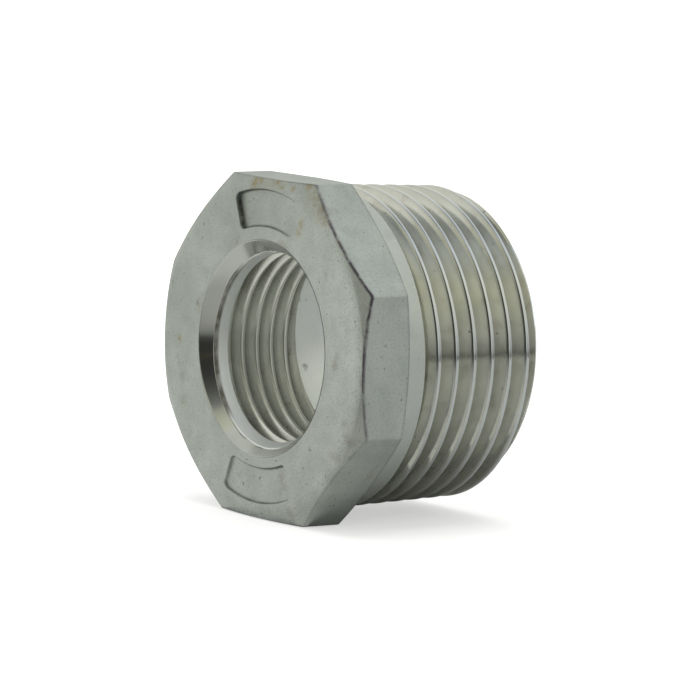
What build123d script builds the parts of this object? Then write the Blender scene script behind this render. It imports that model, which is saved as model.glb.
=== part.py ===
from build123d import *
import math
import os

# Reducing bushing with an eight-sided head, a 1 inch male taper thread and a 1/2 inch female thread.
# One piece, cast and then machined. Lengths are in millimetres and angles in degrees.
# The origin lies on the thread axis, halfway along the part.
# +Y runs from the head to the threaded end. +Z is up, and one flat of the head faces down.
# Depths are measured along the axis from the head's front face.

overall_length = 24.2

# Head
across_flats = 35.0
flat_count = 8
head_thickness = 6.3
# The face is flat out to this radius. From there the front edge slopes back to the corners.
front_flat_radius = 17.1
head_front_slope = 27.5
# The back of the head slopes forward from the neck to the corners.
head_back_slope = 20.0

# Shank: a plain neck behind the head, then the male taper thread, right-hand, to the back end
shank_end_radius = 16.2
# A pipe thread tapers one in sixteen on the diameter, and the neck follows the same taper.
taper = 1 / 32
male_pitch = 2.309
male_depth_ratio = 0.7
male_flank_angle = 27.5
# The groove reaches its full depth at this depth and this part of a turn from +X, after a short run-out.
male_groove_start = 8.65
male_start_turn = -0.28
male_runout_turn = 0.25
male_end_chamfer = 1.35

# Bore of the female thread, plain at the mean radius of its fine thread, behind a countersunk mouth
female_bore_radius = 10.0
female_bore_end = 11.4
mouth_radius = 11.09
mouth_half_angle = 36.0

# Cored cavity behind the threaded bore
cavity_radius = 11.2

# Two sunken size panels on the front face, one above and one below the mouth
panel_depth = 0.4
upper_panel_inner_radius = 12.45
upper_panel_outer_radius = 16.3
upper_panel_half_angle = 20.5
lower_panel_inner_radius = 12.2
lower_panel_outer_radius = 15.9
lower_panel_half_angle = 21.5

corner_radius = across_flats / 2 / math.cos(math.pi / flat_count)


def at(depth):
    # place along Y of a depth measured from the front face
    return depth - overall_length / 2


def shank_radius(depth):
    # radius of the neck and of the thread's crests at a depth
    return shank_end_radius + taper * (overall_length - depth)


# Head: a round outline that slopes at the front and at the back, trimmed by the flats
head_reach = corner_radius + 1.0
front_fall = (head_reach - front_flat_radius) * math.tan(math.radians(head_front_slope))
back_radius = shank_radius(head_thickness)
back_rise = (head_reach - back_radius) * math.tan(math.radians(head_back_slope))
with BuildPart() as head:
    with BuildSketch(Plane.XY):
        with BuildLine():
            Polyline(
                (0, at(0)),
                (front_flat_radius, at(0)),
                (head_reach, at(front_fall)),
                (head_reach, at(head_thickness - back_rise)),
                (back_radius, at(head_thickness)),
                (0, at(head_thickness)),
                close=True,
            )
        make_face()
    revolve(axis=Axis.Y)
    with BuildSketch(Plane.XZ.offset(-at(overall_length))):
        RegularPolygon(across_flats / 2, flat_count, major_radius=False, rotation=180 / flat_count)
    extrude(amount=overall_length, mode=Mode.INTERSECT)

# Shank: one tapered blank for the neck and the male thread, with the end chamfer
with BuildPart() as shank:
    with BuildSketch(Plane.XY):
        with BuildLine():
            shank_start = head_thickness / 2
            chamfer_start = overall_length - male_end_chamfer
            Polyline(
                (0, at(shank_start)),
                (shank_radius(shank_start), at(shank_start)),
                (shank_radius(chamfer_start), at(chamfer_start)),
                (shank_end_radius - male_end_chamfer, at(overall_length)),
                (0, at(overall_length)),
                close=True,
            )
        make_face()
    revolve(axis=Axis.Y)

# Bore: the countersunk mouth, the bore of the female thread and the cored cavity
mouth_slope = math.tan(math.radians(mouth_half_angle))
mouth_depth = (mouth_radius - female_bore_radius) / mouth_slope
with BuildPart() as bore:
    with BuildSketch(Plane.XY):
        with BuildLine():
            Polyline(
                (0, at(-1)),
                (mouth_radius + mouth_slope, at(-1)),
                (female_bore_radius, at(mouth_depth)),
                (female_bore_radius, at(female_bore_end)),
                (cavity_radius, at(female_bore_end)),
                (cavity_radius, at(overall_length + 1)),
                (0, at(overall_length + 1)),
                close=True,
            )
        make_face()
    revolve(axis=Axis.Y)


def groove_turn(share, root_radius, open_radius, cone):
    # one turn, or a share of a turn, of the thread groove: three ruled strips between helices
    # cone is the angle of the helices, and open_radius is beyond the crest, where the groove opens
    half_width = (open_radius - root_radius) * math.tan(math.radians(male_flank_angle))
    lead = male_pitch / math.cos(math.radians(cone))
    corners = [(root_radius, 0), (open_radius, half_width), (open_radius, -half_width)]
    rails = [Helix(lead, male_pitch * share, radius, (0, 0, shift), cone_angle=cone) for radius, shift in corners]
    strips = [Face.make_surface_from_curves(rails[i].edge(), rails[(i + 1) % 3].edge()) for i in range(3)]
    caps = [Face(Wire.make_polygon([rail @ end for rail in rails], close=True)) for end in (0, 1)]
    return Solid(Shell(strips + caps))


def place(cutter, depth, turn):
    # stand a cutter on the thread axis, starting at a depth and turned from +X
    return Pos(0, at(depth), 0) * Rot(-90, 0, 0) * Rot(0, 0, 360 * turn) * cutter


# Male groove, one cutter a turn, from the neck to past the back end
male_depth = male_depth_ratio * male_pitch
male_half_width = male_depth * math.tan(math.radians(male_flank_angle))
male_margin = 0.2
male_cone = -math.degrees(math.atan(taper))
male_turns = (overall_length + male_half_width - male_groove_start) / male_pitch
cutters = []
for turn in range(math.ceil(male_turns)):
    depth = male_groove_start + turn * male_pitch
    crest = shank_radius(depth)
    share = min(1, male_turns - turn)
    cutter = groove_turn(share, crest - male_depth, crest + male_margin, male_cone)
    cutters.append(place(cutter, depth, male_start_turn))

# The groove fades out of the neck over part of a turn.
fade_length = male_runout_turn * male_pitch
fade_rise = male_depth + male_margin
fade_cone = -math.degrees(math.atan(fade_rise / fade_length))
fade_root = shank_radius(male_groove_start) - male_depth + fade_rise
fade = groove_turn(male_runout_turn, fade_root, fade_root + fade_rise, fade_cone)
cutters.append(place(fade, male_groove_start - fade_length, male_start_turn - male_runout_turn))


def size_panel(inner_radius, outer_radius, half_angle, middle_angle):
    # a sunken panel bounded by two arcs round the mouth and two sides that point at the axis
    first = middle_angle - half_angle
    with BuildPart() as panel:
        with BuildSketch(Plane.XZ.offset(-at(0) + 1)):
            with BuildLine():
                inner_arc = CenterArc((0, 0), inner_radius, first, 2 * half_angle)
                outer_arc = CenterArc((0, 0), outer_radius, first, 2 * half_angle)
                Line(inner_arc @ 0, outer_arc @ 0)
                Line(inner_arc @ 1, outer_arc @ 1)
            make_face()
        extrude(amount=-panel_depth - 1)
    return panel.part


panels = [
    size_panel(upper_panel_inner_radius, upper_panel_outer_radius, upper_panel_half_angle, 90),
    size_panel(lower_panel_inner_radius, lower_panel_outer_radius, lower_panel_half_angle, -90),
]

bushing_body = head.part + shank.part - bore.part
bushing_body = bushing_body - cutters
bushing_body = bushing_body - panels
bushing_body = bushing_body.solid()
bushing_body.label = "bushing_body"

os.makedirs("parts", exist_ok=True)
export_step(bushing_body, "parts/bushing_body.step")

size = bushing_body.bounding_box().size
print("bushing_body", round(size.X, 2), round(size.Y, 2), round(size.Z, 2))
print("volume", round(bushing_body.volume, 1), "valid", bushing_body.is_valid)
print("mouth depth", round(mouth_depth, 2), "bore length", round(female_bore_end - mouth_depth, 2))
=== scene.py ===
import bpy
import bmesh
import math
import numpy as np
from mathutils import Matrix, Vector, noise


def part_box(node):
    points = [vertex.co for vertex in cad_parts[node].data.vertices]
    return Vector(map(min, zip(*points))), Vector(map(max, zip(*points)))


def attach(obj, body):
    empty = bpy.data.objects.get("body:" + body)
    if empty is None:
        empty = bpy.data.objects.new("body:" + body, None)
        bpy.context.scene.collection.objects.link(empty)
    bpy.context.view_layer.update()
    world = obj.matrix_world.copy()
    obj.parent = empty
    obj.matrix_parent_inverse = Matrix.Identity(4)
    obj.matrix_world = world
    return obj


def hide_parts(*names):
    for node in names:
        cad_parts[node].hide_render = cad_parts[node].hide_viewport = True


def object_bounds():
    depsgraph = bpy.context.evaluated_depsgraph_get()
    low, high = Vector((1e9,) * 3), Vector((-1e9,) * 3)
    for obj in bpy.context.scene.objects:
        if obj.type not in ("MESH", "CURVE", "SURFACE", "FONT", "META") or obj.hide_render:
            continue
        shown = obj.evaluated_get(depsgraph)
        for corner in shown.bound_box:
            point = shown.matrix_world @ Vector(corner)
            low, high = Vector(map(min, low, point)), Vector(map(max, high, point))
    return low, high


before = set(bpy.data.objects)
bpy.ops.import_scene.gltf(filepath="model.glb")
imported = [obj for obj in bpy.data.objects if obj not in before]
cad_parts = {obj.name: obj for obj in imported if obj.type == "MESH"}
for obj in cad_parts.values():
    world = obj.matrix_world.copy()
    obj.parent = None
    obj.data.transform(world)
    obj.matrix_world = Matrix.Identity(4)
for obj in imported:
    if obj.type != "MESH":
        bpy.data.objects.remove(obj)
cadLow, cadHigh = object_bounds()
print("frame loaded, nodes:", sorted(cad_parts))

# The object is drawn in millimetres and scaled to metres when a mesh is made.
# Depths run along +Y from the head's front face. Angles run from +X towards +Z, in radians where no note says
# degrees.
mm = 0.001
bodyLow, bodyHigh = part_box("bushing_body")
faceY = bodyLow[1] / mm
overallLength = (bodyHigh[1] - bodyLow[1]) / mm
flatRadius = (bodyHigh[0] - bodyLow[0]) / 2 / mm
flatCount = 8
mouthRadius = 11.09
neckRadius = 16.76
cavityRadius = 11.2
fullTurn = 2 * math.pi
mergeGap = 0.0015  # points closer than this become one
shortEdge = 0.0005  # edges shorter than this are dissolved
sharpAngle = 38  # edges that turn more degrees than this stay sharp
seedStep = 17.3  # how far each seed moves the noise


def spot(radius, depth, angle):
    # a point of the object from its radius, depth and angle, as numpy arrays of one shape
    return np.stack([radius * np.cos(angle), faceY + depth, radius * np.sin(angle)], axis=-1)


def addObject(name, data):
    thing = bpy.data.objects.new(name, data)
    bpy.context.scene.collection.objects.link(thing)
    return thing


def sheetMesh(name, points, marks, slots=None, wrap=True, flip=False):
    # rows and columns of points become a quad mesh; marks are stored per point, slots are material numbers
    rows, columns = points.shape[:2]
    index = np.arange(rows * columns).reshape(rows, columns)
    left = index if wrap else index[:, :-1]
    right = np.roll(index, -1, axis=1) if wrap else index[:, 1:]
    quads = np.stack([left[:-1], right[:-1], right[1:], left[1:]], axis=-1)
    if flip:
        quads = quads[..., ::-1]
    mesh = bpy.data.meshes.new(name)
    mesh.from_pydata((points.reshape(-1, 3) * mm).tolist(), [], quads.reshape(-1, 4).tolist())
    for markName, values in marks.items():
        layer = mesh.attributes.new(markName, "FLOAT", "POINT")
        layer.data.foreach_set("value", values.reshape(-1).astype(np.float32))
    if slots is not None:
        mesh.polygons.foreach_set("material_index", slots.reshape(-1).astype(np.int32))
    work = bmesh.new()
    work.from_mesh(mesh)
    bmesh.ops.remove_doubles(work, verts=work.verts, dist=mergeGap * mm)
    bmesh.ops.dissolve_degenerate(work, edges=work.edges, dist=shortEdge * mm)
    work.to_mesh(mesh)
    work.free()
    mesh.shade_smooth()
    mesh.set_sharp_from_angle(angle=math.radians(sharpAngle))
    return addObject(name, mesh)


def spaced(stops, steps):
    # numbers through all stops, each gap cut into its own number of steps
    values = [stops[0]]
    for start, end, count in zip(stops, stops[1:], steps):
        values += [start + (end - start) * (i + 1) / count for i in range(count)]
    return np.array(values)


def onward(start, end, count):
    # evenly spaced numbers after start, the last one at the end
    return spaced([start, end], [count])[1:]


def smooth(low, high, x):
    # a soft step from 0 at low to 1 at high
    t = np.clip((x - low) / (high - low), 0, 1)
    return t * t * (3 - 2 * t)


def blend(stops, x):
    # a value between stops of (position, value)
    return np.interp(x, [place for place, value in stops], [value for place, value in stops])


def hump(x, middle, width):
    # 1 at the middle, falling softly on both sides
    return np.exp(-(((x - middle) / width) ** 2))


def lumps(points, size, seed):
    # smooth noise from -1 to 1 at each point, with lumps of about this size in millimetres
    flat = points.reshape(-1, 3) / size + seed * seedStep
    values = np.array([noise.noise(Vector(p)) for p in flat])
    return values.reshape(points.shape[:-1])


def doubleLumps(points, sizes, seed):
    # broad lumps, with finer ones of half the height on them
    return lumps(points, sizes[0], seed) + 0.5 * lumps(points, sizes[1], seed + 1)


def quadMean(values):
    # the mean of the four corners of each quad
    return (values[:-1, :-1] + values[1:, :-1] + values[:-1, 1:] + values[1:, 1:]) / 4


def addRows(values, first, last):
    # constant rows before and after those of an array, each given as (count, value)
    before = np.full((first[0], values.shape[1]), float(first[1]))
    after = np.full((last[0], values.shape[1]), float(last[1]))
    return np.vstack([before, values, after])


def gatherPast(radius, depth, endDepth):
    # rows past an end get the radius at which their column crosses that end
    gathered = radius.copy()
    for j in range(depth.shape[1]):
        past = np.nonzero(depth[:, j] > endDepth)[0]
        if len(past):
            before = past[0] - 1
            share = (endDepth - depth[before, j]) / (depth[past[0], j] - depth[before, j])
            gathered[past, j] = radius[before, j] + (radius[past[0], j] - radius[before, j]) * share
    return gathered


# Head: front face with its two panels, rim, flats and sloping back
head = {
    "columns": 480,
    "columnGap": 0.09,  # degrees, the least between two columns
    "ridgeColumns": (0, 0.15, 0.3, 0.45, 0.6, 0.8, 0.95, 1.1),  # degrees from a ridge, on both sides
    "panelColumns": (-3.4, 0.8, 0.2),  # degrees from a panel's side: first, end and step
    "faceRings": [11.25, 12.05, 12.65, 13.0, 15.6, 16.5],
    "faceSteps": [2, 4, 9, 3, 12, 14],  # rows up to each ring
    "slopeRows": 18,
    "slopeSpread": 0.75,
    "roundRows": 4,
    "flatShares": [0, 0.1, 0.9, 1],
    "flatSteps": [4, 8, 3],
    "backRoundRows": 3,
    "backRows": 6,
    "fadeRows": 3,  # rows over which a wave or a mark comes in
    "mouthBreak": 0.07,
    "mouthBreakWidth": 0.14,
    "crownStart": 16.17,
    "crownRise": 0.102,
    "crownPower": 2.25,
    "crownEdge": 17.4,
    "crownSlope": 0.537,
    "proudEdge": 0.13,
    "proudTurn": (32, 12),  # degrees from -X where the proud side starts and where it is full
    "proudRadii": (16.4, 17.3),
    "rimRound": 0.1,
    "ridgeRound": 0.55,
    "backDepth": 6.215,
    "backRadius": 16.9,
    "backSlope": 0.377,
    "backAngle": 0.36,
    "neckFillet": 0.3,
    "neckSink": 0.02,
    "panelDepth": 0.4,
    "panelWall": 0.16,
    "panelCorner": 0.75,
    "leanLimits": (0.35, 1.5),
    "fullLean": 1.2,  # the lean at which a panel has its full depth
    # painted shade along the panels' edges
    "edgeShadeWidth": 0.17,
    "edgeShadePlace": 0.7,
    "edgeShadeLean": 0.2,
    "edgeShadeLimits": (0.1, 1.3),
    "castWave": 0.035,
    "waveSizes": (4.5, 1.7),
    "calmRing": 0.8,
    "faceWave": 0.5,
    "flatWave": 0.6,
    "flatInset": 0.02,
    "burr": 0.09,
    "burrSizes": (0.9, 0.45),
    "burrReach": (0.1, 0.5),
    "burrSink": 0.02,
    "burrAround": [  # degrees round the rim and the burr's share of its full height
        (-180, 0.1), (-45, 0.12), (-24, 0.2), (-20, 0.55), (0, 0.8), (20, 0.95),
        (24, 1), (45, 0.8), (66, 0.6), (75, 0.25), (110, 0.15), (180, 0.1),
    ],
    "rimLine": (0.05, 0.3),
    "rimWander": 0.06,
    "wanderSize": 0.7,
    "backLine": (0.03, 0.22),
    # painted light on the face: the side it grows towards, and how far it reaches
    "paintedLightTowards": (0.7, -0.5),
    "paintedLightReach": 20,
}
panels = [  # angles in degrees
    {"inner": 12.45, "outer": 16.35, "middle": 89.6, "halfAngle": 20.4, "tilt": 0.5},
    {"inner": 12.2, "outer": 15.95, "middle": -89.2, "halfAngle": 22.2, "tilt": 0.2},
]
# brown spots and tinted patches on the face: x, z, size and strength
rustSpots = [
    (-2.2, 16.9, 0.5, 1), (-2.7, 16.4, 0.4, 1), (-1.2, 17.2, 0.4, 0.6), (1.7, 17.1, 0.35, 0.9),
    (2.6, 16.9, 0.4, 0.6), (4.3, 16.8, 0.3, 0.9), (6.4, 17.2, 0.35, 1), (6.2, 13.4, 0.5, 0.6),
    (5.8, 12.5, 0.4, 0.6), (7.6, 16.4, 0.9, 0.35), (8.8, 15.4, 1.1, 0.35), (9.8, 14.0, 0.8, 0.3),
    (0.5, 17.2, 1.4, 0.25), (-14.6, -0.7, 0.4, 0.7), (-13.5, -7.0, 0.35, 0.7),
]


def flatsRadius(angle):
    # radius of the eight-sided outline, its ridges rounded
    part = fullTurn / flatCount
    away = np.abs((angle + part / 2) % part - part / 2)
    plain = flatRadius / np.cos(away)
    roundness = head["ridgeRound"]
    centre = (flatRadius - roundness) / math.cos(part / 2)
    off = part / 2 - away
    arc = centre * np.cos(off) + np.sqrt(np.maximum(roundness**2 - (centre * np.sin(off)) ** 2, 0))
    touch = math.atan2((flatRadius - roundness) * math.tan(part / 2), flatRadius)
    return np.where(away > touch, arc, plain)


def crownFall(radius, angle):
    # the face curves back from a ring, then falls at one slope to the corners
    curve = np.minimum(radius, head["crownEdge"]) - head["crownStart"]
    fall = head["crownRise"] * np.maximum(curve, 0) ** head["crownPower"]
    fall = fall + head["crownSlope"] * np.maximum(radius - head["crownEdge"], 0)
    # the side at -X stands a little proud
    start, full = (math.radians(turn) for turn in head["proudTurn"])
    proud = head["proudEdge"] * smooth(start, full, np.abs(angle - math.pi))
    return np.maximum(fall - proud * smooth(*head["proudRadii"], radius), 0)


def backDepth(radius):
    return head["backDepth"] - head["backSlope"] * (radius - head["backRadius"])


def panelSink(radius, angle):
    # how deep the two sunken panels lie below the face, and a mark of painted shade along their edges
    sink = np.zeros_like(radius)
    edge = np.zeros_like(radius)
    wall = head["panelWall"]
    corner = head["panelCorner"]
    for panel in panels:
        middle = (panel["inner"] + panel["outer"]) / 2
        halfAngle = math.radians(panel["halfAngle"])
        turn = (angle - math.radians(panel["middle"]) + math.pi) % fullTurn - math.pi
        u = np.abs(radius - middle) - (panel["outer"] - panel["inner"]) / 2 + corner
        v = (np.abs(turn) - halfAngle) * middle + corner
        outside = np.hypot(np.maximum(u, 0), np.maximum(v, 0)) + np.minimum(np.maximum(u, v), 0) - corner
        # a panel is deeper at one side than at the other, and its painted shade line is darker there
        lean = 1 + panel["tilt"] * turn / halfAngle
        depth = head["panelDepth"] * np.clip(lean, *head["leanLimits"]) / head["fullLean"]
        sink += depth * (1 - smooth(-wall, 0, outside))
        line = 1 - smooth(0.0, head["edgeShadeWidth"], np.abs(outside + wall * head["edgeShadePlace"]))
        edge += line * np.clip(lean - head["edgeShadeLean"], *head["edgeShadeLimits"])
    return sink, edge


def headAngles():
    # evenly spaced columns, with more of them at the ridges and at the sides of the panels
    values = set(np.round(np.arange(head["columns"]) * fullTurn / head["columns"], 6))
    for k in range(flatCount):
        ridge = 360 / flatCount * (k + 0.5)
        for off in head["ridgeColumns"]:
            values.add(round(math.radians(ridge - off), 6))
            values.add(round(math.radians(ridge + off), 6))
    for panel in panels:
        for side in (-1, 1):
            edge = math.radians(panel["middle"]) + side * math.radians(panel["halfAngle"])
            for off in np.arange(*head["panelColumns"]):
                values.add(round(float((edge + side * math.radians(off)) % fullTurn), 6))
    ordered = sorted(values)
    kept = [ordered[0]]
    for value in ordered[1:]:
        if value - kept[-1] > math.radians(head["columnGap"]):
            kept.append(value)
    return np.array(kept)


def burrShare(angle):
    # how strong the burr along the front edge is: most on the flat towards +X and on the one above it
    turn = (angle + math.pi) % fullTurn - math.pi
    return blend(head["burrAround"], np.degrees(turn))


def headRows(angle, rim):
    # rows of radius and depth: over the face from the mouth, round the rim, along the flats, down the back
    rimRound = head["rimRound"]
    faceRadii = spaced([mouthRadius] + head["faceRings"], head["faceSteps"])
    radii = [np.full_like(angle, radius) for radius in faceRadii]
    for share in onward(0, 1, head["slopeRows"]):
        radii.append(faceRadii[-1] + (rim - rimRound - faceRadii[-1]) * share ** head["slopeSpread"])
    faceRows = len(radii)
    depths = [crownFall(radius, angle) for radius in radii]
    for turn in onward(0, math.pi / 2, head["roundRows"]):
        radii.append(rim - rimRound + rimRound * math.sin(turn))
        depths.append(crownFall(rim - rimRound, angle) + rimRound * (1 - math.cos(turn)))
    frontEdge = depths[-1]
    backEdge = backDepth(rim) - rimRound
    for share in spaced(head["flatShares"], head["flatSteps"])[1:]:
        radii.append(rim)
        depths.append(frontEdge + (backEdge - frontEdge) * share)
    for turn in onward(0, math.pi / 2 - head["backAngle"], head["backRoundRows"]):
        radii.append(rim - rimRound + rimRound * math.cos(turn))
        depths.append(backEdge + rimRound * math.sin(turn))
    backStart = len(radii)
    fillet = head["neckFillet"]
    filletEdge = neckRadius + fillet
    lastRadius = radii[-1]
    for share in onward(0, 1, head["backRows"]):
        radius = lastRadius + (filletEdge - lastRadius) * share
        radii.append(radius)
        depths.append(backDepth(radius))
    for turn in onward(0, math.pi / 2, head["roundRows"]):
        radii.append(np.full_like(angle, filletEdge - (fillet + head["neckSink"]) * math.sin(turn)))
        depths.append(np.full_like(angle, backDepth(filletEdge) + fillet * (1 - math.cos(turn))))
    return np.array(radii), np.array(depths), faceRows, backStart, frontEdge, backEdge


def makeHead():
    angle = headAngles()
    rim = flatsRadius(angle)
    radius, depth, faceRows, backStart, frontEdge, backEdge = headRows(angle, rim)
    grid = np.broadcast_to(angle, radius.shape)
    rowNumber = np.arange(len(radius))[:, None]
    onFace = np.zeros_like(radius)
    onFace[:faceRows] = 1

    # the panels and the rounded edge of the mouth
    fromMouth = radius - mouthRadius
    sink, edge = panelSink(radius, grid)
    depth = depth + sink * onFace
    depth += head["mouthBreak"] * (1 - smooth(0, head["mouthBreakWidth"], fromMouth)) * onFace

    # waves of the cast skin, and the burr by its distance from the front edge
    points = spot(radius, depth, grid)
    wave = head["castWave"] * (doubleLumps(points, head["waveSizes"], 1) - 1)
    faceShare = onFace * smooth(0.0, head["calmRing"], fromMouth) * head["faceWave"]
    pastFace = smooth(faceRows - 1, faceRows + head["fadeRows"], rowNumber)
    flatShare = (1 - onFace) * pastFace * head["flatWave"]
    fromRim = np.where(onFace > 0, rim - radius, depth - frontEdge)
    fromBack = np.abs(depth - backEdge)
    burr = head["burr"] * doubleLumps(points, head["burrSizes"], 3)
    burr = burr * (1 - smooth(*head["burrReach"], fromRim)) * burrShare(grid)
    depth = depth - wave * faceShare + np.maximum(burr, -head["burrSink"]) * onFace
    radius = radius + wave * flatShare - (head["flatInset"] + np.abs(burr)) * (1 - onFace)
    points = spot(radius, depth, grid)

    wander = head["rimWander"] * lumps(points, head["wanderSize"], 6)
    rimMark = 1 - smooth(*head["rimLine"], fromRim + wander)
    backMark = (1 - smooth(*head["backLine"], fromBack)) * (rowNumber > faceRows + head["roundRows"])
    rust = np.zeros_like(radius)
    for x, z, size, strength in rustSpots:
        away = (radius * np.cos(grid) - x) ** 2 + (radius * np.sin(grid) - z) ** 2
        rust += strength * np.exp(-away / size**2)
    # painted light: the face is painted paler towards +X and downwards, as light falls on it
    paintedLightX, paintedLightZ = head["paintedLightTowards"]
    pale = 0.5 + radius * (paintedLightX * np.cos(grid) + paintedLightZ * np.sin(grid)) / head["paintedLightReach"]
    marks = {
        "pale": np.clip(pale, 0, 1) * onFace,
        "rust": np.clip(rust, 0, 1) * onFace,
        "panelEdgeShade": edge * onFace,
        "rimLine": rimMark * burrShare(grid),
        "backLine": backMark,
        "neck": smooth(backStart, backStart + head["fadeRows"], rowNumber) * np.ones_like(radius),
    }
    return sheetMesh("head_casting", points, marks, flip=True)


# Shank: neck, male taper thread, end chamfer and end face
shank = {
    "columns": 384,
    "turns": range(-2, 8),  # whole pitches before and after the first full groove
    "start": 5.6,
    "pitch": 2.309,
    "endRadius": 16.2,
    "taper": 1 / 32,
    "depth": 1.479,
    "crestFront": 0.27,
    "crestRear": 0.05,
    "frontRound": 0.4,
    "rearRound": 0.03,
    "rootRound": 0.12,
    "flankAngle": 27.5,
    "grooveDepth": 8.65,
    "grooveAngle": math.radians(-100.8),
    "runOut": 0.25,
    "lateEdge": 0.3,
    "lateComes": (0.7, 0.98),  # shares of a turn
    "lateGoes": (0.98, 0.6),
    "lateWall": ((-0.15, -0.7), (-1.6, -1.2)),
    "endChamfer": 1.45,
    "endRings": 6,
    "edgeBreak": [(0.04, 0.03), (0.0, 0.12)],  # radius past the cavity's and depth from the end
    "breakWidth": 0.12,
    "castWave": 0.03,
    "waveSize": 3.0,
    "turnedFrom": [(0.55, 8.85), (0.72, 7.55)],  # share of a turn, and the depth where turned metal starts
    "crestLine": 0.12,
    "rootLine": (0.75, 1.35),
}
crestSteps = 5
rootSteps = 4
tiny = 1e-6  # keeps a row halfway between two grooves with the first


def flankProfile(form, crestHalf, crestRound):
    # (distance from the crest's middle, fall below the crest) from the crest's middle to the root's middle
    slope = math.radians(90 - form["flankAngle"])
    run = math.tan(math.radians(form["flankAngle"]))
    depth = form["depth"]
    rootRound = form["rootRound"]
    profile = [(0.0, 0.0)]
    centre = crestHalf - crestRound * math.tan(slope / 2)
    for i in range(crestSteps + 1):
        turn = slope * i / crestSteps
        profile.append((centre + crestRound * math.sin(turn), crestRound * (1 - math.cos(turn))))
    top = profile[-1]
    centre = crestHalf + depth * run + rootRound * math.tan(slope / 2)
    bottom = (centre - rootRound * math.sin(slope), depth - rootRound * (1 - math.cos(slope)))
    for share in (0.25, 0.5, 0.75):
        profile.append((top[0] + (bottom[0] - top[0]) * share, top[1] + (bottom[1] - top[1]) * share))
    for i in range(rootSteps + 1):
        turn = slope * (1 - i / rootSteps)
        profile.append((centre - rootRound * math.sin(turn), depth - rootRound * (1 - math.cos(turn))))
    profile.append((form["pitch"] / 2, depth))
    return profile


def fullProfile(form):
    # one whole pitch from root to root: distances from the crest's middle and falls
    front = [(-x, fall) for x, fall in reversed(flankProfile(form, form["crestFront"], form["frontRound"]))]
    whole = front[:-1] + flankProfile(form, form["crestRear"], form["rearRound"])
    return np.array([x for x, fall in whole[:-1]]), np.array([fall for x, fall in whole[:-1]])


def makeShank():
    around = np.arange(shank["columns"] + 1) / shank["columns"]
    angle = -(shank["grooveAngle"] + around * fullTurn)
    pitch = shank["pitch"]
    offsets, falls = fullProfile(shank)
    # the first row of each pitch lies in the root of the groove
    rowOffset = np.concatenate([offsets + pitch / 2 + pitch * k for k in shank["turns"]])[:, None]
    rowFall = np.concatenate([falls] * len(shank["turns"]))[:, None]
    # the first groove's front wall stands a little further back, from the run-out until it is out of sight
    late = 0
    for place, span in ((-pitch, shank["lateComes"]), (0, shank["lateGoes"])):
        wall = 1
        for low, high in shank["lateWall"]:
            wall = wall * smooth(low, high, rowOffset - place)
        late = late + shank["lateEdge"] * wall * smooth(*span, around)
    depth = shank["grooveDepth"] + rowOffset + late + pitch * around
    clamped = np.clip(depth, shank["start"], overallLength)

    # the groove that each row is nearest to, by number; the first one fades in over the run-out
    nearest = np.broadcast_to(np.round(rowOffset / pitch - tiny), depth.shape)
    fade = np.clip((around - (1 - shank["runOut"])) / shank["runOut"], 0, 1)
    strength = np.where(nearest == -1, fade, np.where(nearest >= 0, 1.0, 0.0))
    fall = np.maximum(rowFall - (1 - strength) * shank["depth"], 0)

    blank = shank["endRadius"] + shank["taper"] * (overallLength - depth)
    plain = np.where(strength > 0, blank, np.maximum(blank, neckRadius))
    chamferEnd = shank["endRadius"] - shank["endChamfer"]
    radius = np.minimum(plain - fall, chamferEnd + (overallLength - clamped))
    endRadius = np.minimum(gatherPast(radius, depth, overallLength), chamferEnd)
    radius = np.where(depth > overallLength, endRadius, radius)
    radius = np.where(depth < shank["start"], neckRadius, radius)

    # end face: rings from the groove's end to the bore, with a small edge break
    lastRing = radius[-1]
    breakRadius = cavityRadius + shank["breakWidth"]
    for share in onward(0, 1, shank["endRings"]):
        radius = np.vstack([radius, lastRing + (breakRadius - lastRing) * share])
        clamped = addRows(clamped, (0, 0), (1, overallLength))
    for past, before in shank["edgeBreak"]:
        radius = addRows(radius, (0, 0), (1, cavityRadius + past))
        clamped = addRows(clamped, (0, 0), (1, overallLength - before))
    endRows = len(radius) - len(depth)

    grid = np.broadcast_to(angle, radius.shape)
    castRows = addRows(np.where((nearest < 0) & (strength <= 0), 1.0, 0.0), (0, 0), (endRows, 0))
    wave = shank["castWave"] * lumps(spot(radius, clamped, grid), shank["waveSize"], 5) * castRows
    points = spot(radius + wave, clamped, grid)

    # cast skin on the neck, turned metal on the thread and the end, and on a ring round the run-out
    turned = addRows(np.where(strength > 0, 1.0, 0.0), (0, 0), (endRows, 1))
    turned = np.maximum(turned[:-1, :-1], turned[1:, :-1])
    hidden = around[:-1] > shank["turnedFrom"][0][0]
    pastRing = clamped[1:, :-1] > blend(shank["turnedFrom"], around[:-1])
    slots = np.where(np.where(hidden, pastRing, turned) > 0.5, 1, 0)
    marks = {
        "crest": addRows(1 - smooth(0.0, shank["crestLine"], fall), (0, 0), (endRows, 0)),
        "root": addRows(smooth(*shank["rootLine"], fall), (0, 0), (endRows, 0)),
        "neck": np.ones_like(radius),
    }
    return sheetMesh("shank_thread", points, marks, slots, wrap=False)


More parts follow.
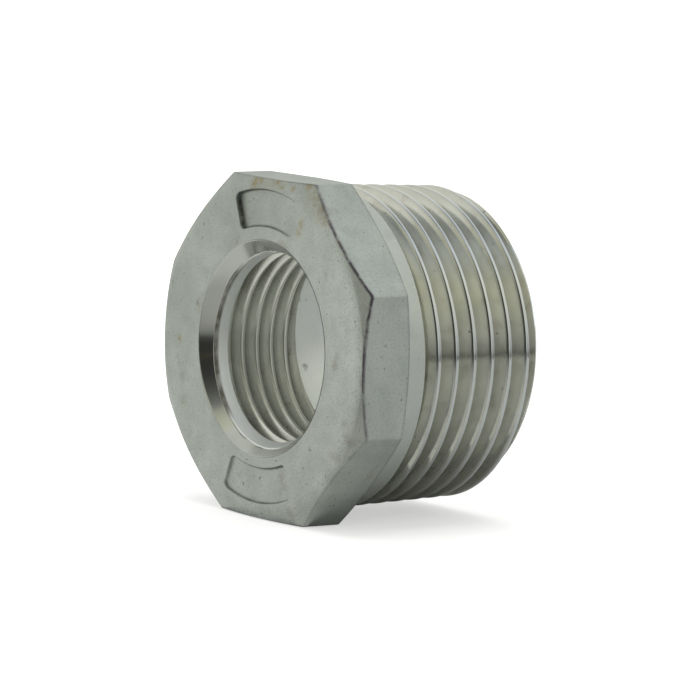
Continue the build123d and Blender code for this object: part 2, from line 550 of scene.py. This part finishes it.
# Bore: countersunk mouth, female thread and cored cavity
bore = {
    "columns": 352,
    "fineTurns": range(-3, 0),  # pitches with more rows, because the mouth and the land cut them at a slant
    "turns": range(0, 6),
    "mouthSlope": math.tan(math.radians(36)),
    "lipDepth": 0.06,
    "lipRound": 0.03,
    "pitch": 1.814,
    "crestRadius": 9.7,
    "depth": 1.1,
    "crestFront": 0.13,
    "crestRear": 0.06,
    "frontRound": 0.17,
    "rearRound": 0.03,
    "rootRound": 0.1,
    "flankAngle": 27.5,
    "crestDepth": 1.808,
    "runIn": (0.83, 0.99),  # shares of a turn
    "landEdge": 10.15,
    "landTilt": 0.22,
    "landStep": 0.05,
    "notchDepth": 0.12,
    "notchWidth": 0.05,
    # painted shade along the notch at the land's edge, and a darker patch on the land
    "notchShadeEdge": 0.04,
    "notchShadeWidth": 0.06,
    "notchShadeShare": 0.8,
    "landDarkPatch": 1.4,
    "landDarkReach": (0.5, 0.36),
    "landDarkTurn": (1.0, 0.6),  # radians from -X where the land's dark patch starts and where it is full
    "threadEnd": 11.5,
    "shoulder": 0.7,
    "shoulderCurve": 1.5,
    "shoulderRows": 4,
    "cavityRows": 14,
    "cavityStop": 0.1,
    "castWave": 0.05,
    "waveSize": 3.5,
    "waveComes": (0.3, 1.5),  # past the thread's end
    "waveGoes": (1.0, 0.2),  # before the back end
    "crestLine": 0.1,
    "rootLine": (0.5, 0.95),
}
boreSlots = {"thread": 0, "mouth": 1, "core": 2, "land": 3}  # in the order of their numbers


def makeBore():
    around = np.arange(bore["columns"] + 1) / bore["columns"]
    angle = -around * fullTurn
    pitch = bore["pitch"]
    offsets, falls = fullProfile(bore)
    fineOffsets = np.sort(np.concatenate([offsets, (offsets[:-1] + offsets[1:]) / 2]))
    fineFalls = np.interp(fineOffsets, offsets, falls)
    rowOffset = [fineOffsets + pitch * k for k in bore["fineTurns"]]
    rowOffset += [offsets + pitch * k for k in bore["turns"]]
    rowOffset = np.concatenate(rowOffset)[:, None]
    rowFall = [fineFalls] * len(bore["fineTurns"]) + [falls] * len(bore["turns"])
    rowFall = np.concatenate(rowFall)[:, None]
    depth = bore["crestDepth"] + rowOffset + pitch * around
    # the first groove fades in on the hidden side
    fall = rowFall * np.where(rowOffset < 0, smooth(*bore["runIn"], around), 1.0)
    thread = bore["crestRadius"] + fall
    clamped = np.clip(depth, bore["lipDepth"], bore["threadEnd"])
    mouth = mouthRadius - bore["mouthSlope"] * clamped

    # a conical land joins the mouth to the first crest, wider below than above, with a notch at its edge
    landRadius = bore["landEdge"] - bore["landTilt"] * np.sin(angle)
    landDepth = (mouthRadius - landRadius) / bore["mouthSlope"]
    pastEdge = clamped - landDepth
    crestLine = bore["crestDepth"] + pitch * around
    share = np.clip((crestLine - clamped) / (crestLine - landDepth), 0, 1)
    notch = bore["notchDepth"] * hump(pastEdge, bore["notchWidth"], bore["notchWidth"])
    land = bore["crestRadius"] + (landRadius - bore["crestRadius"] - bore["landStep"]) * share + notch
    inLip = depth <= bore["lipDepth"]
    inMouth = (clamped < landDepth) & (mouth > thread)
    onLand = (rowOffset < 0) & (clamped >= landDepth) & (land > thread)
    radius = np.where(onLand, land, np.where(inMouth | inLip, mouth, thread))
    radius = gatherPast(radius, depth, bore["threadEnd"])
    # a darker patch on the land's -X side, and painted shade along the notch at the land's edge
    patch = smooth(*bore["landDarkReach"], pastEdge) * onLand
    patch = patch * smooth(*bore["landDarkTurn"], np.abs(-angle - math.pi))
    strip = bore["notchShadeShare"] * hump(pastEdge, bore["notchShadeEdge"], bore["notchShadeWidth"])
    notchShadeAndDarkPatch = np.clip(bore["landDarkPatch"] * patch + strip, 0, 1)

    # the lip before these rows, and the shoulder and the cavity behind them
    lastRing = radius[-1]
    shoulderEnd = bore["threadEnd"] + bore["shoulder"]
    radius = addRows(radius, (1, mouthRadius + bore["lipRound"]), (0, 0))
    clamped = addRows(clamped, (1, 0), (0, 0))
    for share in onward(0, 1, bore["shoulderRows"]):
        radius = np.vstack([radius, lastRing + (cavityRadius - lastRing) * share])
        rowDepth = bore["threadEnd"] + bore["shoulder"] * share ** bore["shoulderCurve"]
        clamped = addRows(clamped, (0, 0), (1, rowDepth))
    for rowDepth in onward(shoulderEnd, overallLength - bore["cavityStop"], bore["cavityRows"]):
        radius = addRows(radius, (0, 0), (1, cavityRadius))
        clamped = addRows(clamped, (0, 0), (1, rowDepth))
    tail = len(radius) - len(depth) - 1

    grid = np.broadcast_to(angle, radius.shape)
    comes, goes = bore["waveComes"], bore["waveGoes"]
    cavity = smooth(bore["threadEnd"] + comes[0], bore["threadEnd"] + comes[1], clamped)
    cavity = cavity * (1 - smooth(overallLength - goes[0], overallLength - goes[1], clamped))
    wave = bore["castWave"] * lumps(spot(radius, clamped, grid), bore["waveSize"], 8) * cavity
    points = spot(radius + wave, clamped, grid)

    mouthRows = addRows(np.where(inMouth | inLip, 1.0, 0.0), (1, 1), (tail, 0))
    tailRows = addRows(np.zeros(depth.shape), (1, 0), (tail, 1))
    landRows = addRows(onLand * 1.0, (1, 0), (tail, 0))
    # a quad is land or mouth by more than half of its corners, and cavity by half of them
    slots = np.where(quadMean(landRows) > 0.5, boreSlots["land"], boreSlots["thread"])
    slots = np.where(quadMean(mouthRows) > 0.5, boreSlots["mouth"], slots)
    slots = np.where(quadMean(tailRows) >= 0.5, boreSlots["core"], slots)
    marks = {
        "crest": addRows(1 - smooth(0.0, bore["crestLine"], fall), (1, 0), (tail, 0)),
        "root": addRows(smooth(*bore["rootLine"], fall), (1, 0), (tail, 0)),
        "notchShadeAndDarkPatch": addRows(notchShadeAndDarkPatch, (1, 0), (tail, 0)),
    }
    return sheetMesh("threaded_bore", points, marks, slots, wrap=False, flip=True)


headPiece = makeHead()
print("head made:", len(headPiece.data.polygons), "faces")
shankPiece = makeShank()
print("shank made:", len(shankPiece.data.polygons), "faces")
borePiece = makeBore()
print("bore made:", len(borePiece.data.polygons), "faces")

# Finishes. Layers are colours laid over the base one after another. A layer can have a mark that bounds it,
# noise that breaks it up, given as scale, detail, start and full, and its least and most strength.
castFinish = {
    "base": (0.405, 0.435, 0.415),
    "rough": 0.52,
    "grain": (3600, 3),  # scale and detail
    "grainGrit": 0.6,
    "grainDepth": 0.00004,
    "grainShare": 0.7,
    "layers": [
        {"colour": (0.465, 0.497, 0.475), "noise": (75, 2, 0.38, 0.62)},
        # painted light on the face, paler towards +X and downwards
        {"colour": (0.68, 0.715, 0.69), "mark": "pale", "most": 0.35},
        {"colour": (0.22, 0.24, 0.225), "noise": (420, 4, 0.35, 0.7), "most": 0.25},
        {"colour": (0.22, 0.24, 0.225), "noise": (5200, 2, 0.5, 0.72), "most": 0.42},
        {"colour": (0.06, 0.045, 0.06), "noise": (2100, 2, 0.7, 0.76), "most": 0.6},
        {"colour": (0.16, 0.09, 0.03), "noise": (300, 5, 0.62, 0.75), "most": 0.36},
        {"colour": (0.53, 0.56, 0.53), "mark": "neck", "most": 0.55},
        {"colour": (0.31, 0.25, 0.11), "mark": "rust",
         "noise": (2200, 4, 0.4, 0.56), "grit": 0.65, "least": 0.15},
        {"colour": (0.06, 0.045, 0.06), "mark": "rimLine", "noise": (700, 4, 0.25, 0.5)},
        {"colour": (0.06, 0.045, 0.06), "mark": "backLine", "most": 0.3},
        # painted shade along the panels' edges, darker at their deeper side
        {"colour": (0.085, 0.09, 0.08), "mark": "panelEdgeShade",
         "noise": (900, 3, 0.35, 0.6), "least": 0.45, "most": 0.8},
    ],
}
turnedFinish = {
    "colour": (0.595, 0.605, 0.55),
    "rough": 0.11,
    "topRough": 0.19,
    "topStart": 0.005,  # metres above the axis
    "topFull": 0.012,
    "lineDepth": 0.000003,
    "blot": (0.36, 0.34, 0.27),
    "fleck": (0.10, 0.09, 0.08),
    "rootShade": 0.12,
    # the crest lines are painted darker and bluer than the flanks: a painted reflection tone
    "crest": (0.5, 0.53, 0.53),
    "metal": 1.0,
}
# the female thread's turned metal is painted paler than the male thread's: painted light against the shade
# inside the bore
boreFinish = {
    "colour": (0.70, 0.71, 0.66),
    "rough": 0.25,
    "lineDepth": 0.000003,
    "blot": (0.45, 0.42, 0.34),
    "fleck": (0.14, 0.12, 0.10),
    "rootShade": 0.2,
    "crest": (0.70, 0.71, 0.65),
    "metal": 0.9,
}
# the land is painted nearly white and bluish: painted light standing in for its bright reflection
landFinish = {
    "colour": (0.9, 0.935, 0.925),
    "rough": 0.34,
    "lineDepth": 0.000002,
    "blot": (0.6, 0.6, 0.54),
    "fleck": (0.09, 0.075, 0.055),
    "rootShade": 0.0,
    "crest": (0.9, 0.935, 0.925),
    "metal": 0.6,
}
turningLines = {"across": 30, "round": 0.004, "noise": (420, 3), "grit": 0.65, "share": 0.8}
# painted light: the cavity's cast skin is painted paler than the outside casting
coreFinish = {
    "colour": (0.72, 0.75, 0.72),
    "spot": (0.24, 0.24, 0.23),
    "rough": 0.5,
    "grainShare": 0.6,
}
mouthFinish = {
    "colour": (0.53, 0.55, 0.52),
    "rough": 0.13,
    "dullMetal": 0.76,
    "dullRough": 0.4,
    "dullStart": -0.003,  # metres along X
    "dullFull": 0.0005,
    "rings": (9000, 3),
    "ringGrit": 0.6,
    "ringDepth": 0.000001,
    "ringShare": 0.6,
}


def newMaterial(name, colour, rough):
    material = bpy.data.materials.new(name)
    material.use_nodes = True
    tree = material.node_tree
    shader = tree.nodes["Principled BSDF"]
    shader.inputs["Metallic"].default_value = 1.0
    shader.inputs["Base Color"].default_value = (*colour, 1)
    shader.inputs["Roughness"].default_value = rough
    place = tree.nodes.new("ShaderNodeTexCoord").outputs["Object"]
    return material, tree, shader, place


def addNoise(tree, scale, detail, vector, grit):
    node = tree.nodes.new("ShaderNodeTexNoise")
    node.inputs["Scale"].default_value = scale
    node.inputs["Detail"].default_value = detail
    node.inputs["Roughness"].default_value = grit
    tree.links.new(vector, node.inputs["Vector"])
    return node.outputs["Fac"]


def addRange(tree, value, low, high, start=0.0, end=1.0):
    node = tree.nodes.new("ShaderNodeMapRange")
    node.inputs["From Min"].default_value = low
    node.inputs["From Max"].default_value = high
    node.inputs["To Min"].default_value = start
    node.inputs["To Max"].default_value = end
    tree.links.new(value, node.inputs["Value"])
    return node.outputs["Result"]


def addMath(tree, operation, first, second):
    node = tree.nodes.new("ShaderNodeMath")
    node.operation = operation
    for socket, value in zip(node.inputs, (first, second)):
        if isinstance(value, (int, float)):
            socket.default_value = value
        else:
            tree.links.new(value, socket)
    return node.outputs[0]


def addMix(tree, share, first, second):
    # a colour between two colours or colour outputs
    node = tree.nodes.new("ShaderNodeMix")
    node.data_type = "RGBA"
    tree.links.new(share, node.inputs[0])
    for socket, value in ((node.inputs[6], first), (node.inputs[7], second)):
        if isinstance(value, tuple):
            socket.default_value = (*value, 1)
        else:
            tree.links.new(value, socket)
    return node.outputs[2]


def addMark(tree, name):
    node = tree.nodes.new("ShaderNodeAttribute")
    node.attribute_name = name
    return node.outputs["Fac"]


def addAxes(tree, vector):
    # the x, y and z of a vector output
    node = tree.nodes.new("ShaderNodeSeparateXYZ")
    tree.links.new(vector, node.inputs[0])
    return node.outputs


def addBump(tree, shader, height, distance, strength):
    node = tree.nodes.new("ShaderNodeBump")
    node.inputs["Distance"].default_value = distance
    node.inputs["Strength"].default_value = strength
    tree.links.new(height, node.inputs["Height"])
    tree.links.new(node.outputs["Normal"], shader.inputs["Normal"])


def darker(colour, share):
    return tuple(part * share for part in colour)


def addLayers(tree, shader, place, base, layers):
    # lays each layer's colour over the base, as strongly as its mark and its noise allow
    colour = base
    for layer in layers:
        share = layer.get("most", 1.0)
        if "noise" in layer:
            scale, detail, start, full = layer["noise"]
            pattern = addNoise(tree, scale, detail, place, layer.get("grit", 0.5))
            share = addRange(tree, pattern, start, full, layer.get("least", 0.0), share)
        if "mark" in layer:
            share = addMath(tree, "MULTIPLY", addMark(tree, layer["mark"]), share)
        colour = addMix(tree, share, colour, layer["colour"])
    tree.links.new(colour, shader.inputs["Base Color"])


def addGrain(tree, shader, place, strength):
    # the fine grain of a cast skin
    grain = addNoise(tree, *castFinish["grain"], place, castFinish["grainGrit"])
    addBump(tree, shader, grain, castFinish["grainDepth"], strength)


def castMaterial():
    # blasted casting: mottled tone, fine dark grain, brown stains and the dark burr along the front edge
    base = castFinish["base"]
    material, tree, shader, place = newMaterial("cast_blasted_steel", base, castFinish["rough"])
    addLayers(tree, shader, place, base, castFinish["layers"])
    addGrain(tree, shader, place, castFinish["grainShare"])
    return material


def turnedMaterial(name, finish):
    # fine turning lines, dull patches and dark flecks; painted shade in the roots and the land's notch, a
    # darker land patch
    material, tree, shader, place = newMaterial(name, finish["colour"], finish["rough"])
    shader.inputs["Metallic"].default_value = finish["metal"]
    x, y, z = addAxes(tree, place)
    if "topRough" in finish:
        span = (finish["topStart"], finish["topFull"])
        rough = addRange(tree, z, *span, finish["rough"], finish["topRough"])
        tree.links.new(rough, shader.inputs["Roughness"])
    layers = [
        {"colour": darker(finish["colour"], 0.86), "noise": (260, 4, 0.35, 0.7)},
        {"colour": finish["blot"], "noise": (520, 4, 0.58, 0.75), "most": 0.4},
        {"colour": finish["fleck"], "noise": (1500, 2, 0.72, 0.76), "most": 0.7},
        # crest lines in the finish's crest tone; on the male thread this is a painted reflection tone
        {"colour": finish["crest"], "mark": "crest"},
        {"colour": finish["fleck"], "mark": "root", "most": finish["rootShade"]},
        # painted shade along the land's notch, and a darker patch on the land
        {"colour": finish["fleck"], "mark": "notchShadeAndDarkPatch", "noise": (700, 4, 0.3, 0.6), "least": 0.5, "most": 0.9},
    ]
    addLayers(tree, shader, place, finish["colour"], layers)
    # noise drawn out round the axis makes the lines
    squares = addMath(tree, "ADD", addMath(tree, "MULTIPLY", x, x), addMath(tree, "MULTIPLY", z, z))
    radius = addMath(tree, "SQRT", squares, 0)
    turn = addMath(tree, "ARCTAN2", x, z)
    join = tree.nodes.new("ShaderNodeCombineXYZ")
    stretches = (turningLines["across"], turningLines["across"], turningLines["round"])
    for socket, value, stretch in zip(join.inputs, (radius, y, turn), stretches):
        tree.links.new(addMath(tree, "MULTIPLY", value, stretch), socket)
    lines = addNoise(tree, *turningLines["noise"], join.outputs[0], turningLines["grit"])
    addBump(tree, shader, lines, finish["lineDepth"], turningLines["share"])
    return material


def coreMaterial():
    # skin of the cored cavity, painted paler than the outside as painted light from the open back end, and
    # with a few dark spots
    material, tree, shader, place = newMaterial("cored_steel", coreFinish["colour"], coreFinish["rough"])
    layers = [
        {"colour": darker(coreFinish["colour"], 0.9), "noise": (160, 4, 0.35, 0.7)},
        {"colour": coreFinish["spot"], "noise": (520, 4, 0.66, 0.74), "most": 0.7},
    ]
    addLayers(tree, shader, place, coreFinish["colour"], layers)
    addGrain(tree, shader, place, coreFinish["grainShare"])
    return material


def mouthMaterial():
    # polished countersink, duller on the +X side, with faint rings from the tool
    colour, rough = mouthFinish["colour"], mouthFinish["rough"]
    material, tree, shader, place = newMaterial("polished_mouth_steel", colour, rough)
    addLayers(tree, shader, place, colour, [{"colour": darker(colour, 0.9), "noise": (300, 3, 0.35, 0.7)}])
    x, y, z = addAxes(tree, place)
    span = (mouthFinish["dullStart"], mouthFinish["dullFull"])
    tree.links.new(addRange(tree, x, *span, 1.0, mouthFinish["dullMetal"]), shader.inputs["Metallic"])
    tree.links.new(addRange(tree, x, *span, rough, mouthFinish["dullRough"]), shader.inputs["Roughness"])
    join = tree.nodes.new("ShaderNodeCombineXYZ")
    tree.links.new(y, join.inputs[0])
    rings = addNoise(tree, *mouthFinish["rings"], join.outputs[0], mouthFinish["ringGrit"])
    addBump(tree, shader, rings, mouthFinish["ringDepth"], mouthFinish["ringShare"])
    return material


cast = castMaterial()
maleThread = turnedMaterial("turned_male_thread", turnedFinish)
boreMaterials = {
    "thread": turnedMaterial("turned_female_thread", boreFinish),
    "mouth": mouthMaterial(),
    "core": coreMaterial(),
    "land": turnedMaterial("turned_land", landFinish),
}
boreOrder = [boreMaterials[name] for name in boreSlots]
for piece, materials in ((headPiece, [cast]), (shankPiece, [cast, maleThread]), (borePiece, boreOrder)):
    for material in materials:
        piece.data.materials.append(material)
    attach(piece, "root")
    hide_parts("bushing_body")
print("finishes made")

# Floor, room and light
studio = {
    "floorReach": 6.0,
    "floorColour": 0.74,
    "floorRough": 0.9,
    "floorShine": 0.1,
    "floorGlow": 0.5,
    "farGlow": 0.66,
    "glowStart": 0.03,
    "glowEnd": 0.16,
    "shinyGlow": 0.05,
    "sky": 0.6,
    "wallLow": 0.74,
    "wallHigh": 1.15,
    "wallRise": (0.05, 0.62),
    "zenith": 0.88,
    "zenithRise": (0.72, 0.9),
    "overhead": 0.28,
    "overheadRise": (0.93, 0.995),
    "warmWall": (1.0, 0.99, 0.89),
    "warmRise": (0.1, 0.5),
    "coolSky": (0.94, 0.98, 1.06),
    "coolRise": (0.7, 0.9),
    "lampPower": 1.3,
    "lampSize": 0.42,
    "lampHeight": 0.5,
}
white = (1, 1, 1)


def makeFloor():
    # white paper; the glow that the camera and reflections see leaves the shadow below the object
    mesh = bpy.data.meshes.new("floor")
    reach = studio["floorReach"]
    corners = [(x * reach, y * reach, cadLow[2]) for x, y in ((-1, -1), (1, -1), (1, 1), (-1, 1))]
    mesh.from_pydata(corners, [], [(0, 1, 2, 3)])
    floor = addObject("floor", mesh)
    material = bpy.data.materials.new("floor_paper")
    material.use_nodes = True
    tree = material.node_tree
    shader = tree.nodes["Principled BSDF"]
    shader.inputs["Base Color"].default_value = (studio["floorColour"],) * 3 + (1,)
    shader.inputs["Roughness"].default_value = studio["floorRough"]
    shader.inputs["Specular IOR Level"].default_value = studio["floorShine"]
    shader.inputs["Emission Color"].default_value = (*white, 1)
    path = tree.nodes.new("ShaderNodeLightPath")
    away = tree.nodes.new("ShaderNodeVectorMath")
    away.operation = "LENGTH"
    tree.links.new(tree.nodes.new("ShaderNodeTexCoord").outputs["Object"], away.inputs[0])
    far = addRange(tree, away.outputs["Value"], studio["glowStart"], studio["glowEnd"])
    shiny = addMath(tree, "MAXIMUM", path.outputs["Is Glossy Ray"], path.outputs["Is Transmission Ray"])
    shinyGlow = addMath(tree, "MULTIPLY", addMath(tree, "MULTIPLY", shiny, far), studio["shinyGlow"])
    glow = addRange(tree, far, 0, 1, studio["floorGlow"], studio["farGlow"])
    glow = addMath(tree, "MULTIPLY", path.outputs["Is Camera Ray"], glow)
    tree.links.new(addMath(tree, "ADD", glow, shinyGlow), shader.inputs["Emission Strength"])
    mesh.materials.append(material)


def makeWorld():
    world = bpy.data.worlds.new("studio")
    bpy.context.scene.world = world
    world.use_nodes = True
    tree = world.node_tree
    background = tree.nodes["Background"]
    path = tree.nodes.new("ShaderNodeLightPath")
    camera = path.outputs["Is Camera Ray"]
    seen = addMath(tree, "MAXIMUM", camera, path.outputs["Is Glossy Ray"])
    seen = addMath(tree, "MAXIMUM", seen, path.outputs["Is Transmission Ray"])
    # reflections see a wall that is greyer at the height of the object, warm above it and cool overhead
    up = addAxes(tree, tree.nodes.new("ShaderNodeTexCoord").outputs["Generated"])[2]
    tint = addMix(tree, addRange(tree, up, *studio["warmRise"]), white, studio["warmWall"])
    tint = addMix(tree, addRange(tree, up, *studio["coolRise"]), tint, studio["coolSky"])
    tree.links.new(addMix(tree, camera, tint, white), background.inputs["Color"])
    wall = addRange(tree, up, *studio["wallRise"], studio["wallLow"], studio["wallHigh"])
    for part in ("zenith", "overhead"):
        fade = addRange(tree, up, *studio[part + "Rise"], 1.0, studio[part])
        wall = addMath(tree, "MULTIPLY", wall, fade)
    # the camera itself sees plain white
    unseen = addMath(tree, "SUBTRACT", 1.0, camera)
    wall = addMath(tree, "ADD", addMath(tree, "MULTIPLY", wall, unseen), camera)
    strength = addMath(tree, "MULTIPLY", wall, addRange(tree, seen, 0, 1, studio["sky"], 1.0))
    tree.links.new(strength, background.inputs["Strength"])


def makeLamp():
    # one soft lamp straight above, which reflections don't see
    data = bpy.data.lights.new("top_softbox", "AREA")
    data.energy = studio["lampPower"]
    data.size = studio["lampSize"]
    lamp = addObject("top_softbox", data)
    lamp.visible_glossy = False
    lamp.location = (0, 0, studio["lampHeight"])


def addCard(name, bearings, lines, tone):
    # A studio card that only reflections see. Each line is (what its tones go by, distance, height).
    # A bearing of 0 is straight ahead of the face, and +90 is towards +X.
    points, tones = [], []
    for step, distance, height in lines:
        for bearing in bearings:
            a = math.radians(bearing)
            points.append((distance * math.sin(a), -distance * math.cos(a), height))
            tones.append((*tone(bearing, step), 1))
    columns = len(bearings)
    quads = []
    for i in range(len(lines) - 1):
        for k in range(i * columns, (i + 1) * columns - 1):
            quads.append((k, k + 1, k + columns + 1, k + columns))
    mesh = bpy.data.meshes.new(name)
    mesh.from_pydata(points, [], quads)
    layer = mesh.attributes.new("tone", "FLOAT_COLOR", "POINT")
    layer.data.foreach_set("color", np.array(tones, dtype=np.float32).reshape(-1))
    card = addObject(name, mesh)
    material = bpy.data.materials.new(name)
    material.use_nodes = True
    tree = material.node_tree
    tree.nodes.remove(tree.nodes["Principled BSDF"])
    glow = tree.nodes.new("ShaderNodeEmission")
    paint = tree.nodes.new("ShaderNodeAttribute")
    paint.attribute_name = "tone"
    tree.links.new(paint.outputs["Color"], glow.inputs["Color"])
    tree.links.new(glow.outputs[0], tree.nodes["Material Output"].inputs["Surface"])
    mesh.materials.append(material)
    card.visible_camera = False
    card.visible_diffuse = False
    card.visible_transmission = False
    card.visible_shadow = False


def wallCard(name, bearings, rises, distance, tone):
    # an upright card, its tones by degrees above the object
    lines = [(rise, distance, distance * math.tan(math.radians(rise))) for rise in rises]
    addCard(name, bearings, lines, tone)


def floorCard(name, bearings, distances, above, tone):
    # a card that lies just above the floor, its tones by distance
    addCard(name, bearings, [(distance, distance, cadLow[2] + above) for distance in distances], tone)


# Room in front of the face. Tones go by degrees above the object. Spans are the bearings where a side
# starts and where it is full.
room = {
    "distance": 0.45,
    "bearings": np.arange(-110, 81, 3.8),
    "rises": [-7, -4.5, -2, 2, 5, 7, 8.5, 10, 11.5, 13, 16, 20, 24, 27, 30, 33, 37, 42, 48, 54, 60, 66, 72],
    "cameraTones": [
        (-7, 0.06), (-4, 0.045), (14, 0.045), (26, 0.052), (36, 0.085), (42, 0.125),
        (48, 0.19), (54, 0.27), (60, 0.42), (66, 0.65), (72, 1.0),
    ],
    "cameraSpan": (20, 30),
    "aheadTones": [
        (-7, 0.17), (8, 0.23), (18, 0.34), (24, 0.5), (31, 0.64),
        (50, 0.62), (60, 0.6), (66, 0.75), (72, 1.0),
    ],
    "paleTones": [(-7, 0.95), (20, 0.95), (40, 0.85), (66, 0.78), (72, 1.0)],
    "paleSpan": (-10, -30),
    "beyondTone": 0.95,
    "beyondSpan": (62, 74),
    "stripe": 0.045,
    "stripeRise": 10,
    "stripeHeight": 1.5,
    "stripeGreen": 0.6,
    "patch": 0.42,
    "patchBearing": -33,
    "patchWidth": 9,
    "patchRise": 29,
    "patchHeight": 4.5,
    "warmth": 0.06,
    "aheadWarmth": 0.12,
}


def roomTone(bearing, rise):
    # dark towards the camera with a faint brown stripe, half dark ahead, then pale, with one bright patch
    towards = smooth(*room["cameraSpan"], bearing)
    away = smooth(*room["paleSpan"], bearing)
    beyond = smooth(*room["beyondSpan"], bearing)
    level = blend(room["cameraTones"], rise) * towards + blend(room["aheadTones"], rise) * (1 - towards)
    level = level * (1 - away) + blend(room["paleTones"], rise) * away
    level = level * (1 - beyond) + room["beyondTone"] * beyond
    stripe = room["stripe"] * hump(rise, room["stripeRise"], room["stripeHeight"]) * towards * (1 - beyond)
    patch = room["patch"] * hump(bearing, room["patchBearing"], room["patchWidth"])
    patch = patch * hump(rise, room["patchRise"], room["patchHeight"])
    warm = room["aheadWarmth"] * (1 - towards) * (1 - away) + room["warmth"]
    red = level + stripe + patch
    green = level + room["stripeGreen"] * stripe + patch
    blue = level * (1 - warm) + patch
    return (red, green, blue)


# Table in front of the face, its tones given by metres from the axis
table = {
    "distances": [0.013, 0.02, 0.034, 0.048, 0.078, 0.11, 0.14, 0.15, 0.45],
    "above": 0.0002,
    "cameraTones": [
        (0.013, 0.6), (0.034, 0.55), (0.048, 0.48), (0.078, 0.37),
        (0.11, 0.25), (0.14, 0.15), (0.15, 0.07), (0.45, 0.06),
    ],
    "paleTones": [(0.013, 0.7), (0.05, 0.95), (0.45, 0.95)],
    "paleSpan": (4, -18),
    "blue": 0.94,
}


def tableTone(bearing, distance):
    # darker away from the object towards the camera, pale on the other side
    away = smooth(*table["paleSpan"], bearing)
    level = blend(table["cameraTones"], distance) * (1 - away) + blend(table["paleTones"], distance) * away
    return (level, level, level * table["blue"])


# Behind the object: a line of shade where the table ends, its tones by degrees above the object, and paper
rear = {
    "shadeDistance": 0.19,
    "shadeBearings": np.arange(95, 151, 5),
    "shadeTones": [(-5.2, 0.5), (-4.6, 0.12), (-3.2, 0.12), (-2.2, 0.45), (0, 0.56), (4, 0.64), (8, 0.74)],
    "paperDistance": 0.3,
    "paperBearings": [-162, -158, -140, -136],
    "paperRises": [-9, -4, 20, 30],
    "paperTone": (1.1, 1.2, 1.28),
}


def shadeTone(bearing, rise):
    return (blend(rear["shadeTones"], rise),) * 3


def paperTone(bearing, rise):
    return rear["paperTone"]


def makeCards():
    wallCard("room", room["bearings"], room["rises"], room["distance"], roomTone)
    floorCard("table", room["bearings"], table["distances"], table["above"], tableTone)
    shadeRises = [rise for rise, tone in rear["shadeTones"]]
    wallCard("rear_shade", rear["shadeBearings"], shadeRises, rear["shadeDistance"], shadeTone)
    wallCard("rear_paper", rear["paperBearings"], rear["paperRises"], rear["paperDistance"], paperTone)


makeFloor()
makeWorld()
makeLamp()
makeCards()
print("floor and light made")

# Camera, placed by a fit to the photograph: angles in degrees, distances in metres, lens and sensor in mm
view = {
    "azimuth": 53.63,
    "elevation": 6.736,
    "roll": 2.284,
    "distance": 0.59472,
    "target": (-0.00026, -0.00059, -0.00061),
    "lens": 296.08,
    "sensor": 36,
    "clipStart": 0.01,
}


def makeCamera():
    azimuth, elevation, roll = (math.radians(view[name]) for name in ("azimuth", "elevation", "roll"))
    level = math.cos(elevation)
    back = Vector((math.sin(azimuth) * level, -math.cos(azimuth) * level, math.sin(elevation)))
    side = Vector((math.cos(azimuth), math.sin(azimuth), 0))
    right = side * math.cos(roll) + back.cross(side) * math.sin(roll)
    data = bpy.data.cameras.new("camera")
    data.lens = view["lens"]
    data.sensor_width = view["sensor"]
    data.clip_start = view["clipStart"]
    camera = addObject("camera", data)
    turn = Matrix((right, back.cross(right), back)).transposed().to_4x4()
    camera.matrix_world = Matrix.Translation(Vector(view["target"]) + back * view["distance"]) @ turn
    bpy.context.scene.camera = camera


makeCamera()
bpy.context.scene.view_settings.view_transform = "Standard"
print("camera placed")
